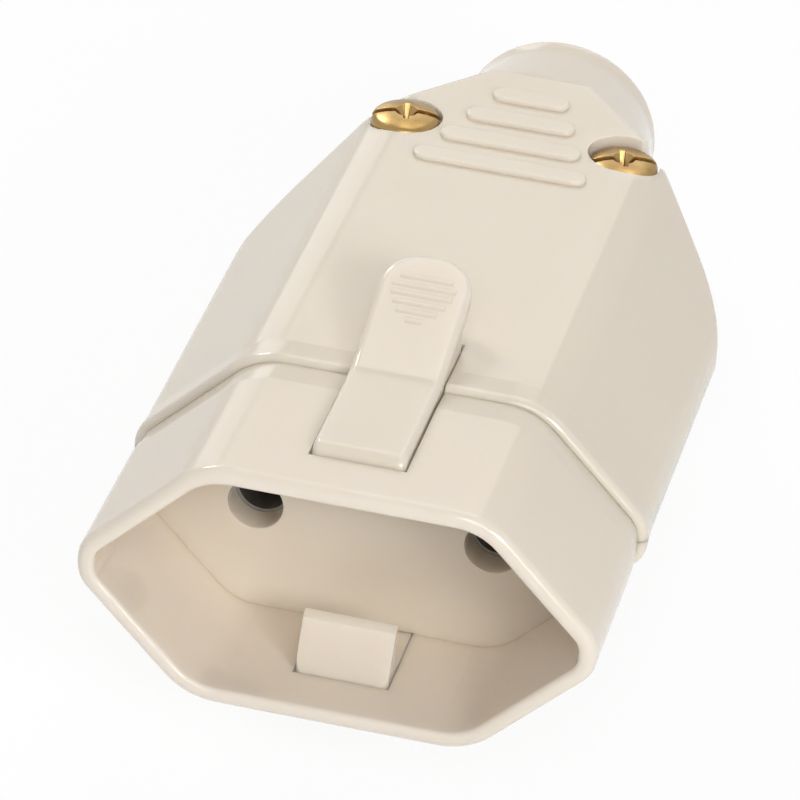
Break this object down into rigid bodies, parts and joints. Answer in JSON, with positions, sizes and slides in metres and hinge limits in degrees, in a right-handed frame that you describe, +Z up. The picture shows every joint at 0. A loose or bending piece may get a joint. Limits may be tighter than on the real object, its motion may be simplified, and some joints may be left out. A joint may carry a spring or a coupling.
{
  "type": "inline socket connector",
  "caption": "Ivory inline mains socket connector with a deep plug recess, latch levers above and below, and a screwed split housing with a cable neck",
  "frame": {"origin": "centre of the face that a plug seats on, at the bottom of the recess, midway between the pin holes", "axes": "+Y along the connector's axis from the recess to the cable end, +X to the right as seen from the mouth, +Z up"},
  "size_m": [0.0416, 0.0809, 0.031],
  "materials": {
    "ivory_plastic": "gloss moulded thermoplastic",
    "screw_brass": "yellow plated",
    "contact_nickel": "dull nickel plating on brass",
    "spring_steel": "plain"
  },
  "bodies": {
    "housing": {"socket_front": "ivory_plastic", "upper_shell": "ivory_plastic", "lower_shell": "ivory_plastic", "upper_latch_spring": "spring_steel", "lower_latch_spring": "spring_steel", "left_contact": "contact_nickel", "right_contact": "contact_nickel", "left_terminal_screw": "spring_steel", "right_terminal_screw": "spring_steel", "left_housing_screw": "screw_brass", "right_housing_screw": "screw_brass", "left_housing_nut": "screw_brass", "right_housing_nut": "screw_brass"},
    "upper_lever": {"upper_latch": "ivory_plastic"},
    "lower_lever": {"lower_latch": "ivory_plastic"}
  },
  "joints": [
    {"name": "upper_latch_turn", "type": "hinge", "parent": "housing", "child": "upper_lever", "pos_m": [0, 0.0062, 0.0072], "axis": [-1, 0, 0], "range_deg": [0, 10], "stiffness_Nm_per_rad": 0.05, "springref_deg": -17.19, "deforming": ["upper_latch_spring"]},
    {"name": "lower_latch_turn", "type": "hinge", "parent": "housing", "child": "lower_lever", "pos_m": [0, 0.0062, -0.0072], "axis": [1, 0, 0], "range_deg": [0, 10], "stiffness_Nm_per_rad": 0.05, "springref_deg": -17.19, "deforming": ["lower_latch_spring"]}
  ]
}
